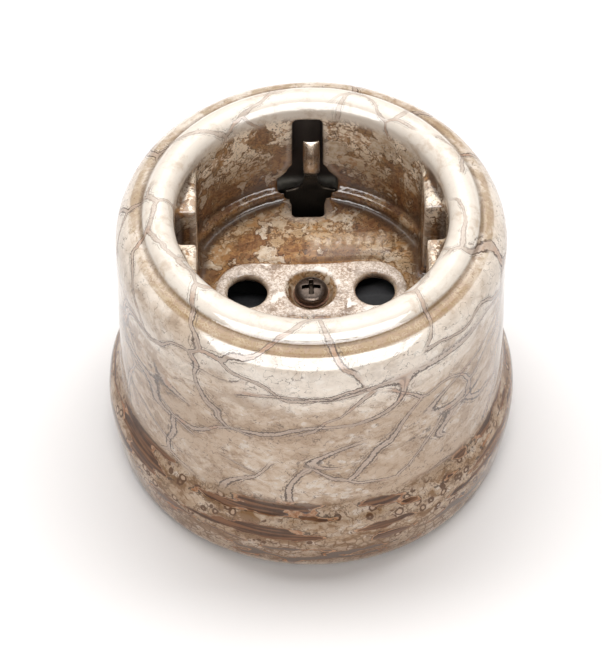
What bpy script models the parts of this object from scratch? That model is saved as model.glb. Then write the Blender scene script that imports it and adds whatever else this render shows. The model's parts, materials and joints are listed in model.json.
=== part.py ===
"""Surface-mounted round socket outlet in glazed porcelain, with earth contacts at two sides of its recess.

The frame: origin at the centre of the back, on the wall plane; +Z leaves the wall, the pins lie along X
and the two earth slots at -Y (near) and +Y (far). Lengths below are millimetres; MM turns them into metres.
"""

import math

import bmesh
import bpy
from mathutils import Matrix, Vector

MM = 0.001
GAP = 0.3  # clearance kept between pieces that touch

# Cover: outer shape
HEIGHT = 47.8
FOOT_R = 30.9
WALL_R = 28.5
CREST_R, CREST_TUBE_R = 22.25, 2.35
SHOULDER_TOP = 46.1
TURN_STEPS = 56

# Cover: plug recess and hollow
RECESS_R = 19.85
RECESS_FLOOR = 28.3
PLATFORM_TOP = 29.0
HOLLOW_R = 25.2
HOLLOW_TOP = 24.3
POCKET_R, POCKET_TOP = 14.9, 26.6

# Standard plug interface
PIN_SPACING = 19.0
PIN_X = PIN_SPACING / 2
PIN_HOLE_R = 2.9
GUIDE_X = 16.65
GUIDE_TOP = 43.5
GUIDE_NOTCH_HALF = 3.0
SLOT_HALF, SLOT_TOP, SLOT_BACK_R = 2.25, 44.3, 23.5
SLOT_WIDE_HALF, SLOT_WIDE_TOP, SLOT_SHOULDER = 4.6, 31.4, 34.4
SLOT_INNER_Y, SLOT_STEP_Y = 15.0, 18.4
LEDGE_TOP = 30.25

# Base and the insert on it
BASE_R, BASE_TOP = 24.8, 8.0
CARRIER_TOP = 21.7
CARRIER_X, CARRIER_Y = 13.7, 10.6
TRAY_R = 14.4
SLEEVE_R, SLEEVE_BORE_R, SLEEVE_TOP = 3.2, 2.45, 20.2
PLATE_BOTTOM, PLATE_TOP = BASE_TOP + GAP, BASE_TOP + GAP + 0.8
TERMINAL_X = 18.1
TERMINAL_HALF_X, TERMINAL_HALF_Y = 3.2, 4.0
TERMINAL_BOTTOM, TERMINAL_TOP = PLATE_TOP + GAP, 18.0
EARTH_TERMINAL_AT, EARTH_TERMINAL_HALF = (-9.0, -14.5), (3.4, 3.4)
CABLE_HOLE_AT = (11.2, 15.2)
WALL_SCREWS_AT = ((10.0, -14.5), (-10.0, 14.5))
CARRIER_SCREWS_AT = (("carrier_screw_right", (6.5, 7.8)), ("carrier_screw_left", (-6.5, -7.8)))
RIVET_Y = 16.8
STRIP_SHIFT = 0.5  # the earth contacts sit this far off the slots' centre lines


# ---------------------------------------------------------------- shapes

def clear_scene():
    for obj in list(bpy.data.objects):
        bpy.data.objects.remove(obj, do_unlink=True)


def material(name, color, roughness, metallic=0.0):
    made = bpy.data.materials.new(name)
    made.use_nodes = True
    shader = made.node_tree.nodes["Principled BSDF"]
    shader.inputs["Base Color"].default_value = (*color, 1.0)
    shader.inputs["Roughness"].default_value = roughness
    shader.inputs["Metallic"].default_value = metallic
    return made


def mesh_object(name, bm, at=(0, 0, 0), smooth=True):
    """A new object from bm, whose points are millimetres, with its origin at the point `at`."""
    bmesh.ops.remove_doubles(bm, verts=bm.verts, dist=1e-5)
    bmesh.ops.recalc_face_normals(bm, faces=bm.faces)
    bmesh.ops.translate(bm, verts=bm.verts, vec=-Vector(at))
    bmesh.ops.scale(bm, verts=bm.verts, vec=(MM, MM, MM))
    mesh = bpy.data.meshes.new(name)
    bm.to_mesh(mesh)
    bm.free()
    if smooth:
        mesh.shade_smooth()
        mesh.set_sharp_from_angle(angle=math.radians(35))
    obj = bpy.data.objects.new(name, mesh)
    obj.location = Vector(at) * MM
    bpy.context.scene.collection.objects.link(obj)
    return obj


def finished(obj, finish):
    obj.data.materials.clear()
    obj.data.materials.append(finish)
    return obj


def arc(cx, cz, r, start, end, count):
    """Points on an arc, angles in degrees from the first axis."""
    turns = [math.radians(start + (end - start) * i / (count - 1)) for i in range(count)]
    return [(cx + r * math.cos(t), cz + r * math.sin(t)) for t in turns]


def turned(name, outline, steps=TURN_STEPS, at=(0, 0), closed=False):
    """A solid of revolution about the vertical axis through `at`.

    The outline is (radius, height) points; an open one starts and ends on the axis.
    """
    bm = bmesh.new()
    rings = []
    for r, z in outline:
        if r < 1e-6:
            rings.append([bm.verts.new((at[0], at[1], z))])
            continue
        turns = [2 * math.pi * i / steps for i in range(steps)]
        rings.append([bm.verts.new((at[0] + r * math.cos(t), at[1] + r * math.sin(t), z)) for t in turns])
    pairs = list(zip(rings, rings[1:] + rings[:1]))
    for upper, lower in pairs if closed else pairs[:-1]:
        for i in range(steps):
            j = (i + 1) % steps
            corners = [upper[i % len(upper)], upper[j % len(upper)]]
            corners += [lower[j % len(lower)], lower[i % len(lower)]]
            unique = list(dict.fromkeys(corners))
            if len(unique) > 2:
                bm.faces.new(unique)
    return mesh_object(name, bm, at=(*at, 0))


def prism(name, outline, low, high, smooth=True):
    """An upright prism over an outline of (x, y) points."""
    bm = bmesh.new()
    face = bm.faces.new([bm.verts.new((x, y, low)) for x, y in outline])
    grown = bmesh.ops.extrude_face_region(bm, geom=[face])
    top = [item for item in grown["geom"] if isinstance(item, bmesh.types.BMVert)]
    bmesh.ops.translate(bm, verts=top, vec=(0, 0, high - low))
    return mesh_object(name, bm, smooth=smooth)


def box(name, low, high):
    x0, y0, z0 = low
    x1, y1, z1 = high
    return prism(name, [(x0, y0), (x1, y0), (x1, y1), (x0, y1)], z0, z1)


def round_box_outline(half_x, half_y, r, count=5):
    points = []
    for sx, sy, start in ((1, 1, 0), (-1, 1, 90), (-1, -1, 180), (1, -1, 270)):
        corner = (sx * (half_x - r), sy * (half_y - r))
        points += arc(*corner, r, start, start + 90, count)
    return points


def cylinder(name, at, r, low, high, steps=24):
    return turned(name, [(0, high), (r, high), (r, low), (0, low)], steps, at)


def sector_outline(r_in, r_out, start, end, count=8):
    return arc(0, 0, r_out, start, end, count) + arc(0, 0, r_in, end, start, count)


def boolean(obj, other, operation):
    step = obj.modifiers.new(other.name, "BOOLEAN")
    step.object = other
    step.operation = operation
    step.solver = "MANIFOLD"  # all shapes here are closed, and it leaves no slivers on the small ones
    other.hide_render = True
    other.hide_viewport = True
    other.display_type = "WIRE"


def cut(obj, *cutters):
    for cutter in cutters:
        boolean(obj, cutter, "DIFFERENCE")


def join(obj, *others):
    for other in others:
        boolean(obj, other, "UNION")


# ---------------------------------------------------------------- cover

def cover_outline():
    """Half section of the cover, from the middle of the recess floor, over the rim and back under it."""
    recess = [(0, RECESS_FLOOR), (18.5, RECESS_FLOOR)]
    ledge = [(18.75, RECESS_FLOOR + 0.25)] + arc(19.25, LEDGE_TOP - 0.5, 0.5, 180, 90, 3)
    ledge += [(19.75, LEDGE_TOP + 0.1)]
    crest_z = HEIGHT - CREST_TUBE_R
    wall_in = [(RECESS_R, 31.2), (RECESS_R, 43.6)]
    crest = arc(CREST_R, crest_z, CREST_TUBE_R, 174, 22, 9)
    shoulder = [(24.9, SHOULDER_TOP), (26.1, 45.7), (27.2, 44.8), (28.05, 43.3), (28.4, 41.6)]
    wall = [(WALL_R, 36.0), (28.75, 17.5), (28.8, 15.2)]
    foot = [(29.1, 13.7), (29.75, 12.3), (30.5, 10.9), (FOOT_R, 8.8), (30.8, 6.4), (30.4, 3.6), (29.9, 0.6),
            (29.3, 0.0)]
    hollow = [(HOLLOW_R + 0.8, 0.0), (HOLLOW_R, 0.8), (HOLLOW_R, HOLLOW_TOP), (POCKET_R, HOLLOW_TOP),
              (POCKET_R, POCKET_TOP), (0, POCKET_TOP)]
    return recess + ledge + wall_in + crest + shoulder + wall + foot + hollow


def platform_outline():
    """The raised bone-shaped island round the pin holes and the screw."""
    half, lobe_x, lobe_r, waist = 5.4, 9.4, 4.8, 0.45
    top = []
    for i in range(13):
        x = lobe_x - 2 * lobe_x * i / 12
        top.append((x, half - waist * (0.5 + 0.5 * math.cos(math.pi * x / lobe_x))))
    turns = [math.radians(a) for a in range(20, 180, 20)]
    left = [(-lobe_x - lobe_r * math.sin(t), half * math.cos(t)) for t in turns]
    bottom = [(-x, -y) for x, y in top]
    right = [(-x, -y) for x, y in left]
    return top + left + bottom + right


def guide_rib(name, side_x, side_y):
    """One half of a flat guide face, with the notch left free beside it."""
    outer = RECESS_R + 0.6
    start = math.degrees(math.asin(GUIDE_NOTCH_HALF / outer))
    end = math.degrees(math.acos(GUIDE_X / outer))
    outline = [(GUIDE_X, GUIDE_NOTCH_HALF)] + arc(0, 0, outer, start, end, 6)
    return prism(name, [(side_x * x, side_y * y) for x, y in outline], RECESS_FLOOR - 0.5, GUIDE_TOP)


def earth_slot_cutters(side, label):
    """The slot in the recess wall, its wide foot, and the step that continues through the floor."""
    bm = bmesh.new()
    face_y = [(SLOT_HALF, SLOT_TOP), (SLOT_HALF, SLOT_SHOULDER), (SLOT_WIDE_HALF, SLOT_WIDE_TOP),
              (SLOT_WIDE_HALF, HOLLOW_TOP - 2)]
    outline = face_y + [(-x, z) for x, z in reversed(face_y)]
    near, far = side * SLOT_STEP_Y, side * SLOT_BACK_R
    face = bm.faces.new([bm.verts.new((x, near, z)) for x, z in outline])
    grown = bmesh.ops.extrude_face_region(bm, geom=[face])
    back = [item for item in grown["geom"] if isinstance(item, bmesh.types.BMVert)]
    bmesh.ops.translate(bm, verts=back, vec=(0, far - near, 0))
    wall_slot = mesh_object(f"cutter_slot_{label}", bm)
    y0, y1 = sorted((side * SLOT_INNER_Y, side * (SLOT_STEP_Y + 1.0)))
    half = SLOT_HALF + 0.2
    step = box(f"cutter_slot_step_{label}", (-half, y0, HOLLOW_TOP - 2.5), (half, y1, LEDGE_TOP + 0.1))
    return wall_slot, step


def make_cover(finish):
    cover = turned("cover", cover_outline())
    join(cover, prism("platform", platform_outline(), RECESS_FLOOR - 0.6, PLATFORM_TOP))
    for sx in (-1, 1):
        for sy in (-1, 1):
            join(cover, guide_rib(f"guide_{sx}_{sy}", sx, sy))
    for side, label in ((-1, "near"), (1, "far")):
        cut(cover, *earth_slot_cutters(side, label))
    for side, label in ((-1, "left"), (1, "right")):
        lip = arc(PIN_HOLE_R + 0.8, PLATFORM_TOP - 0.8, 0.8, 180, 95, 4)
        hole = [(0, 30), (3.9, 30), (3.9, PLATFORM_TOP)] + lip[::-1]
        hole += [(PIN_HOLE_R, 27.6), (3.6, 27.6), (3.6, POCKET_TOP - 1), (0, POCKET_TOP - 1)]
        cut(cover, turned(f"cutter_pin_{label}", hole, 24, (side * PIN_X, 0)))
    dish = [(0, 30), (4.1, 30), (3.9, PLATFORM_TOP - 0.02), (3.5, 28.3), (3.1, 27.6), (1.9, 27.5),
            (1.9, POCKET_TOP - 1), (0, POCKET_TOP - 1)]
    cut(cover, turned("cutter_dish", dish, 24))
    cut(cover, cable_arch("cutter_cable_arch"))
    return finished(cover, finish)


def cable_arch(name):
    """A round-topped passage through the foot, in line with the cable hole of the base."""
    bm = bmesh.new()
    half, height = 4.0, 3.2
    outline = [(half, -1.0)] + arc(0, height, half, 0, 180, 9) + [(-half, -1.0)]
    face = bm.faces.new([bm.verts.new((22.0, y, z)) for y, z in outline])
    grown = bmesh.ops.extrude_face_region(bm, geom=[face])
    outer = [item for item in grown["geom"] if isinstance(item, bmesh.types.BMVert)]
    bmesh.ops.translate(bm, verts=outer, vec=(12.0, 0, 0))
    turn = Matrix.Rotation(math.atan2(CABLE_HOLE_AT[1], CABLE_HOLE_AT[0]), 4, "Z")
    bmesh.ops.transform(bm, matrix=turn, verts=bm.verts)
    return mesh_object(name, bm)


# ---------------------------------------------------------------- screws and rivets

def make_screw(name, at, finish, head_r, head_low, head_high, shank_r, tip):
    """A pan-head screw standing on its tip, with a cross recess in the head."""
    dome = head_high - head_low
    head = [(0, head_high), (head_r * 0.55, head_high - dome * 0.08)]
    head += [(head_r * 0.85, head_high - dome * 0.35), (head_r, head_high - dome * 0.8), (head_r, head_low)]
    shank = [(shank_r, head_low), (shank_r, tip + 0.4), (shank_r - 0.4, tip), (0, tip)]
    screw = turned(name, head + shank, 18, at)
    half, deep = head_r * 0.13, head_high - dome * 0.6
    arm = head_r * 0.56
    for index, (hx, hy) in enumerate(((arm, half), (half, arm))):
        low = (at[0] - hx, at[1] - hy, deep)
        high = (at[0] + hx, at[1] + hy, head_high + 1)
        cut(screw, box(f"cutter_{name}_{index}", low, high))
    return finished(screw, finish)


def make_carrier_screw(name, at, finish):
    """A screw that comes up from the back of the base into the carrier."""
    shank = [(0, 12.0), (0.9, 12.0), (1.35, 11.5), (1.35, 3.0)]
    outline = shank + [(2.7, 3.0), (2.8, 1.6), (2.3, 0.9), (0, 0.7)]
    screw = turned(name, outline, 16, at)
    slot = box(f"cutter_{name}", (at[0] - 1.6, at[1] - 0.35, 0), (at[0] + 1.6, at[1] + 0.35, 1.7))
    cut(screw, slot)
    return finished(screw, finish)


def make_rivet(name, y, finish):
    head = [(0, 11.2), (1.4, 11.05), (2.2, 10.45), (1.3, 10.45)]
    outline = head + [(1.3, 8.0), (2.4, 8.0), (2.4, 7.2), (0, 7.0)]
    return finished(turned(name, outline, 16, (0, y)), finish)


# ---------------------------------------------------------------- base and carrier

def make_base(finish):
    outline = [(0, BASE_TOP), (BASE_R - 0.6, BASE_TOP), (BASE_R, BASE_TOP - 0.6)]
    outline += [(BASE_R, 0.5), (BASE_R - 0.5, 0), (0, 0)]
    base = turned("base", outline, 40)
    for index, at in enumerate(WALL_SCREWS_AT):
        hole = [(0, 9), (4.4, 9), (4.4, 7.4), (2.3, 5.3), (2.3, -1), (0, -1)]
        cut(base, turned(f"cutter_wall_screw_{index}", hole, 20, at))
    for name, at in CARRIER_SCREWS_AT:
        hole = [(0, 9), (1.75, 9), (1.75, 3.3), (3.3, 3.3), (3.3, -1), (0, -1)]
        cut(base, turned(f"cutter_{name}_hole", hole, 16, at))
    for y in (-RIVET_Y, RIVET_Y):
        cut(base, cylinder(f"cutter_rivet_seat_{y}", (0, y), 3.1, 6.6, 9, 16))
    cut(base, cylinder("cutter_cable_hole", CABLE_HOLE_AT, 4.2, -1, 9, 24))
    channel = box("cutter_cable_channel", (17.0, -3.6, 2.5), (30.0, 3.6, 9.0))
    channel.rotation_euler.z = math.atan2(CABLE_HOLE_AT[1], CABLE_HOLE_AT[0])
    cut(base, channel)
    return finished(base, finish)


def make_carrier(finish):
    """The black insert: pockets for both sleeves, a bore for the nut, grooves for tails and bridge."""
    outline = round_box_outline(CARRIER_X, CARRIER_Y, 3.0)
    carrier = prism("contact_carrier", outline, PLATE_BOTTOM, CARRIER_TOP)
    for side, label in ((-1, "left"), (1, "right")):
        at = (side * PIN_X, 0)
        pocket = [(0, CARRIER_TOP + 1), (2.8, CARRIER_TOP + 1), (2.8, SLEEVE_TOP + GAP)]
        pocket += [(SLEEVE_R + GAP, SLEEVE_TOP + GAP), (SLEEVE_R + GAP, PLATE_BOTTOM - 1), (0, PLATE_BOTTOM - 1)]
        cut(carrier, turned(f"cutter_sleeve_{label}", pocket, 24, at))
        x0, x1 = sorted((side * (PIN_X + 1.3), side * (CARRIER_X + 1)))
        cut(carrier, box(f"cutter_tail_{label}", (x0, -2.9, PLATE_BOTTOM - 1.2), (x1, 2.9, PLATE_TOP + GAP)))
    cut(carrier, cylinder("cutter_nut_bore", (0, 0), 4.3, PLATE_BOTTOM - 0.8, CARRIER_TOP + 1, 24))
    groove = box("cutter_bridge_groove", (-4.6, -12, PLATE_BOTTOM - 1.4), (4.6, 12, PLATE_TOP + GAP + 0.1))
    cut(carrier, groove)
    for name, at in CARRIER_SCREWS_AT:
        cut(carrier, cylinder(f"cutter_{name}_thread", at, 1.75, PLATE_BOTTOM - 1, 13.0, 20))
    return finished(carrier, finish)


def make_tray(finish):
    """The round tray that the shutter turns in, with a post for the cover screw and two pin bores."""
    floor_low, floor_high, rim = CARRIER_TOP + GAP, 23.0, 26.3
    outline = [(1.8, rim), (2.6, rim), (2.6, floor_high), (TRAY_R - 0.8, floor_high), (TRAY_R - 0.8, rim),
               (TRAY_R, rim), (TRAY_R, floor_low), (1.8, floor_low)]
    tray = turned("shutter_tray", outline, 36, closed=True)
    for side, label in ((-1, "left"), (1, "right")):
        bore = cylinder(f"cutter_tray_bore_{label}", (side * PIN_X, 0), 2.7, floor_low - 1, floor_high + 0.5, 20)
        cut(tray, bore)
    return finished(tray, finish)


def make_shutter(finish):
    """Two wings on a hub; each wing's ramp lets a pin push it round."""
    low, high, hub_low = 23.3, 26.3, 24.7
    hub = [(2.95, high), (4.9, high), (4.9, hub_low), (2.95, hub_low)]
    shutter = turned("shutter", hub, 24, closed=True)
    span = 19.0
    for start, label in ((180 - span, "left"), (-span, "right")):
        wing = prism(f"wing_{label}", sector_outline(4.4, 13.1, start, start + 2 * span), hub_low, high)
        rib = prism(f"rib_{label}", sector_outline(6.2, 13.1, start, start + 2 * span), low, hub_low + 0.3)
        join(shutter, wing, rib)
        ramp = box(f"cutter_ramp_{label}", (-3.0, -0.9, 0.0), (3.0, 6.5, 5.0))
        side = -1 if label == "left" else 1
        ramp.location = Vector((side * PIN_X, 0, high - 0.35)) * MM
        ramp.rotation_euler = (math.radians(-24), 0, 0 if side < 0 else math.pi)
        cut(shutter, ramp)
    return finished(shutter, finish)


def make_shutter_spring(finish):
    """A torsion spring below the hub, its ends bent outwards."""
    curve = bpy.data.curves.new("shutter_spring", "CURVE")
    curve.dimensions = "3D"
    curve.bevel_depth = 0.22 * MM
    curve.bevel_resolution = 1
    curve.use_fill_caps = True
    turns, per_turn, radius, low, pitch = 1.5, 16, 4.0, 23.5, 0.6
    points = []
    for i in range(int(turns * per_turn) + 1):
        angle = math.radians(90) + 2 * math.pi * i / per_turn
        points.append((radius * math.cos(angle), radius * math.sin(angle), low + pitch * i / per_turn))
    points.insert(0, (1.8, 5.6, low))
    points.append((-1.8, -5.6, points[-1][2]))
    spline = curve.splines.new("POLY")
    spline.points.add(len(points) - 1)
    for point, place in zip(spline.points, points):
        point.co = (*(Vector(place) * MM), 1)
    spring = bpy.data.objects.new("shutter_spring", curve)
    bpy.context.scene.collection.objects.link(spring)
    return finished(spring, finish)


# ---------------------------------------------------------------- contacts

def make_sleeve(name, side, finish):
    """A contact sleeve with two slits, on a tail that runs out under its terminal."""
    at = (side * PIN_X, 0)
    floor = 9.5
    bore = [(0, floor), (SLEEVE_BORE_R, floor), (SLEEVE_BORE_R, SLEEVE_TOP - 0.4)]
    outline = bore + [(SLEEVE_BORE_R + 0.3, SLEEVE_TOP), (SLEEVE_R, SLEEVE_TOP), (SLEEVE_R, PLATE_BOTTOM)]
    outline += [(0, PLATE_BOTTOM)]
    sleeve = turned(name, outline, 20, at)
    x0, x1 = sorted((side * (PIN_X + 1), side * (TERMINAL_X + 2.8)))
    join(sleeve, box(f"{name}_tail", (x0, -2.6, PLATE_BOTTOM), (x1, 2.6, PLATE_TOP)))
    slit = box(f"cutter_{name}_slit", (at[0] - 4, -0.35, 12.5), (at[0] + 4, 0.35, SLEEVE_TOP + 1))
    cut(sleeve, slit)
    return finished(sleeve, finish)


def make_terminal(name, at, along, finish):
    """A clamp block with a wire channel along X or Y and a bore for its screw."""
    half = (TERMINAL_HALF_X, TERMINAL_HALF_Y) if along == "Y" else EARTH_TERMINAL_HALF
    low = (at[0] - half[0], at[1] - half[1], TERMINAL_BOTTOM)
    high = (at[0] + half[0], at[1] + half[1], TERMINAL_TOP)
    block = box(name, low, high)
    reach = 6.0
    across = (2.1, reach) if along == "Y" else (reach, 2.1)
    channel = box(f"cutter_{name}_channel", (at[0] - across[0], at[1] - across[1], 10.9),
                  (at[0] + across[0], at[1] + across[1], 15.1))
    bore = cylinder(f"cutter_{name}_bore", at, 2.1, 14.0, TERMINAL_TOP + 1, 20)
    cut(block, channel, bore)
    return finished(block, finish)


def make_wire_clamp(name, at, along, finish):
    half = (1.7, 3.0) if along == "Y" else (2.8, 1.7)
    clamp = box(name, (at[0] - half[0], at[1] - half[1], 11.2), (at[0] + half[0], at[1] + half[1], 12.0))
    groove = (0.6, 5.0) if along == "Y" else (5.0, 0.6)
    cut(clamp, box(f"cutter_{name}", (at[0] - groove[0], at[1] - groove[1], 10.5),
                   (at[0] + groove[0], at[1] + groove[1], 11.45)))
    return finished(clamp, finish)


def make_bridge(finish):
    """The earth bridge: a flat bar along Y with a tab under the earth terminal."""
    bridge = box("earth_bridge", (-4.0, -20.2, PLATE_BOTTOM), (4.0, 20.2, PLATE_TOP))
    x, y = EARTH_TERMINAL_AT
    join(bridge, box("bridge_tab", (x - 3.0, y - 2.8, PLATE_BOTTOM), (-3.0, y + 2.8, PLATE_TOP)))
    for end in (-RIVET_Y, RIVET_Y):
        cut(bridge, cylinder(f"cutter_bridge_rivet_{end}", (0, end), 1.7, 7, 10, 20))
    return finished(bridge, finish)


def strip_mesh(side):
    """The sprung earth strip as a sheet swept along its side view."""
    thickness, crosswise = 0.6, (-1.0, -0.5, 0.0, 0.5, 1.0)
    foot_z = PLATE_TOP + GAP + thickness / 2 + 0.05
    # distance from the centre, height, half width, bulge towards the centre
    foot = [(13.9, foot_z, 4.0, 0), (18.0, foot_z, 4.0, 0), (20.2, foot_z, 4.0, 0)]
    bend = [(20.75, foot_z + 0.25, 4.0, 0), (21.0, foot_z + 0.8, 4.0, 0), (21.0, 27.0, 4.0, 0)]
    neck = [(21.0, 28.4, 1.5, 0), (20.7, 30.2, 1.15, 0.05), (19.7, 32.6, 1.0, 0.15), (18.3, 34.6, 1.1, 0.35)]
    tongue = [(17.4, 36.0, 1.25, 0.5), (17.1, 37.4, 1.25, 0.55), (17.35, 39.2, 1.25, 0.55)]
    path = foot + bend + neck + tongue + [(18.1, 40.6, 1.25, 0.5), (18.8, 41.4, 1.2, 0.4)]
    bm = bmesh.new()
    rows = []
    for i, (y, z, half, bulge) in enumerate(path):
        before, after = path[max(i - 1, 0)], path[min(i + 1, len(path) - 1)]
        along = Vector((0, after[0] - before[0], after[1] - before[1])).normalized()
        inward = Vector((0, -along.z, along.y))
        shift = STRIP_SHIFT * min(1.0, max(0.0, (z - 12.0) / 10.0))
        row = []
        for face in (1, -1):
            for t in crosswise[::face]:
                lift = inward * (thickness / 2 * face + bulge * (1 - t * t))
                row.append(bm.verts.new((half * t + shift, (y + lift.y) * side, z + lift.z)))
        rows.append(row)
    for one, two in zip(rows, rows[1:]):
        for i in range(len(one)):
            j = (i + 1) % len(one)
            bm.faces.new((one[i], one[j], two[j], two[i]))
    bm.faces.new(rows[0])
    bm.faces.new(rows[-1])
    return bm


def make_strip(name, side, finish):
    pivot = (0, side * RIVET_Y, PLATE_TOP + GAP + 0.35)
    strip = mesh_object(name, strip_mesh(side), at=pivot)
    cut(strip, cylinder(f"cutter_{name}_rivet", (0, side * RIVET_Y), 1.75, 8, 12, 20))
    return finished(strip, finish)


def make_nut(finish):
    """The hexagonal nut pillar on the bridge that takes the cover screw."""
    corners = arc(0, 0, 3.9, 0, 300, 6)
    nut = prism("centre_nut", corners, PLATE_TOP + GAP, 20.6, smooth=False)
    cut(nut, cylinder("cutter_nut_thread", (0, 0), 1.85, 11.0, 22.0, 20))
    return finished(nut, finish)


# ---------------------------------------------------------------- assembly

def main():
    clear_scene()
    glaze = material("glazed_porcelain", (0.78, 0.70, 0.60), 0.12)
    ceramic = material("raw_porcelain", (0.86, 0.84, 0.78), 0.55)
    black = material("black_insert", (0.012, 0.012, 0.013), 0.45)
    bronze = material("dark_bronze", (0.16, 0.11, 0.08), 0.32, 1.0)
    brass = material("brass", (0.72, 0.52, 0.24), 0.3, 1.0)
    nickel = material("nickel_strip", (0.55, 0.5, 0.43), 0.25, 1.0)
    steel = material("steel", (0.5, 0.5, 0.5), 0.35, 1.0)
    fibre = material("fibre_washer", (0.28, 0.17, 0.10), 0.7)

    make_cover(glaze)
    make_base(ceramic)
    make_carrier(black)
    make_tray(black)
    make_shutter(black)
    make_shutter_spring(steel)

    make_screw("cover_screw", (0, 0), bronze, 2.5, 28.25, 29.7, 1.5, 13.0)
    washer = [(1.85, 28.0), (2.7, 28.0), (2.7, 27.75), (1.85, 27.75)]
    finished(turned("cover_screw_washer", washer, 20, closed=True), fibre)
    make_nut(brass)

    for side, label in ((-1, "left"), (1, "right")):
        at = (side * TERMINAL_X, 0)
        make_sleeve(f"contact_sleeve_{label}", side, brass)
        make_terminal(f"terminal_{label}", at, "Y", brass)
        make_wire_clamp(f"wire_clamp_{label}", at, "Y", steel)
        make_screw(f"terminal_screw_{label}", at, steel, 2.8, 18.3, 20.1, 1.7, 12.3)

    make_bridge(nickel)
    for side, label in ((-1, "near"), (1, "far")):
        make_strip(f"earth_strip_{label}", side, nickel)
        make_rivet(f"earth_rivet_{label}", side * RIVET_Y, brass)
    make_terminal("earth_terminal", EARTH_TERMINAL_AT, "X", brass)
    make_wire_clamp("earth_wire_clamp", EARTH_TERMINAL_AT, "X", steel)
    make_screw("earth_terminal_screw", EARTH_TERMINAL_AT, steel, 2.8, 18.3, 20.1, 1.7, 12.3)
    for name, at in CARRIER_SCREWS_AT:
        make_carrier_screw(name, at, steel)


main()
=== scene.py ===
"""Looks for the round porcelain socket outlet: glazed cover, small parts, studio floor and light.

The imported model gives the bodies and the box. Lengths are millimetres unless a comment says otherwise,
and MM turns them into metres. The axis of the outlet is Z, and -Y faces the camera.
"""

import json
import math

import bmesh
import bpy
import numpy as np
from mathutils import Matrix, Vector, noise


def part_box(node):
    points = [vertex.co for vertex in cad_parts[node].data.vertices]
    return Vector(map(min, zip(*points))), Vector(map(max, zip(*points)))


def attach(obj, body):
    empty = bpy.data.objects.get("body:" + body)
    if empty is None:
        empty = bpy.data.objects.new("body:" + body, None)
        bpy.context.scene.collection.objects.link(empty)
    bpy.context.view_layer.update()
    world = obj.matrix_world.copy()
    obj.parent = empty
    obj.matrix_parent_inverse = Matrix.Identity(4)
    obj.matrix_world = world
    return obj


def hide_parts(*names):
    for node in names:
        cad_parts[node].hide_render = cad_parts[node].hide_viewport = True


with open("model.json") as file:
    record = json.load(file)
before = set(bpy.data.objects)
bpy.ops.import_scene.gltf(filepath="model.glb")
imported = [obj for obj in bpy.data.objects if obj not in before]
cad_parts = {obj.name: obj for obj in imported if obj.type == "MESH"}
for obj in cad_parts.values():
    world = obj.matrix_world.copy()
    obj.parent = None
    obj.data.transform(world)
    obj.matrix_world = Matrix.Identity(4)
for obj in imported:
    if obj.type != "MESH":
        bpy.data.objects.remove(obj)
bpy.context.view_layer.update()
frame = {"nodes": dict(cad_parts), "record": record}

MM = 0.001
COVER_LOW, COVER_HIGH = (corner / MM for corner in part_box("cover"))
HEIGHT = COVER_HIGH.z
FOOT_R = COVER_HIGH.x
BODIES = frame["record"]["behaviour"]["bodies"]
BODY_OF = {node: body for body, nodes in BODIES.items() for node in nodes}
SLOT_OF = {part["node"]: part["material_slot"] for part in frame["record"]["subparts"]}

# Cover shape, as in the solid model
RECESS_R, RECESS_FLOOR, PLATFORM_TOP = 19.85, 28.3, 29.0
CREST_R, CREST_TUBE_R, WALL_R = 22.25, 2.35, 28.5
SLOT_HALF, SLOT_TOP, SLOT_WIDE_HALF, SLOT_SHOULDER = 2.25, 44.3, 4.6, 34.4
GUIDE_X, GUIDE_TOP = 16.65, 43.5
CABLE_ANGLE = math.atan2(15.2, 11.2)
PLATE_HEIGHT, BEAD_HEIGHT = 0.32, 0.15


# ---------------------------------------------------------------- shader graph

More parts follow.
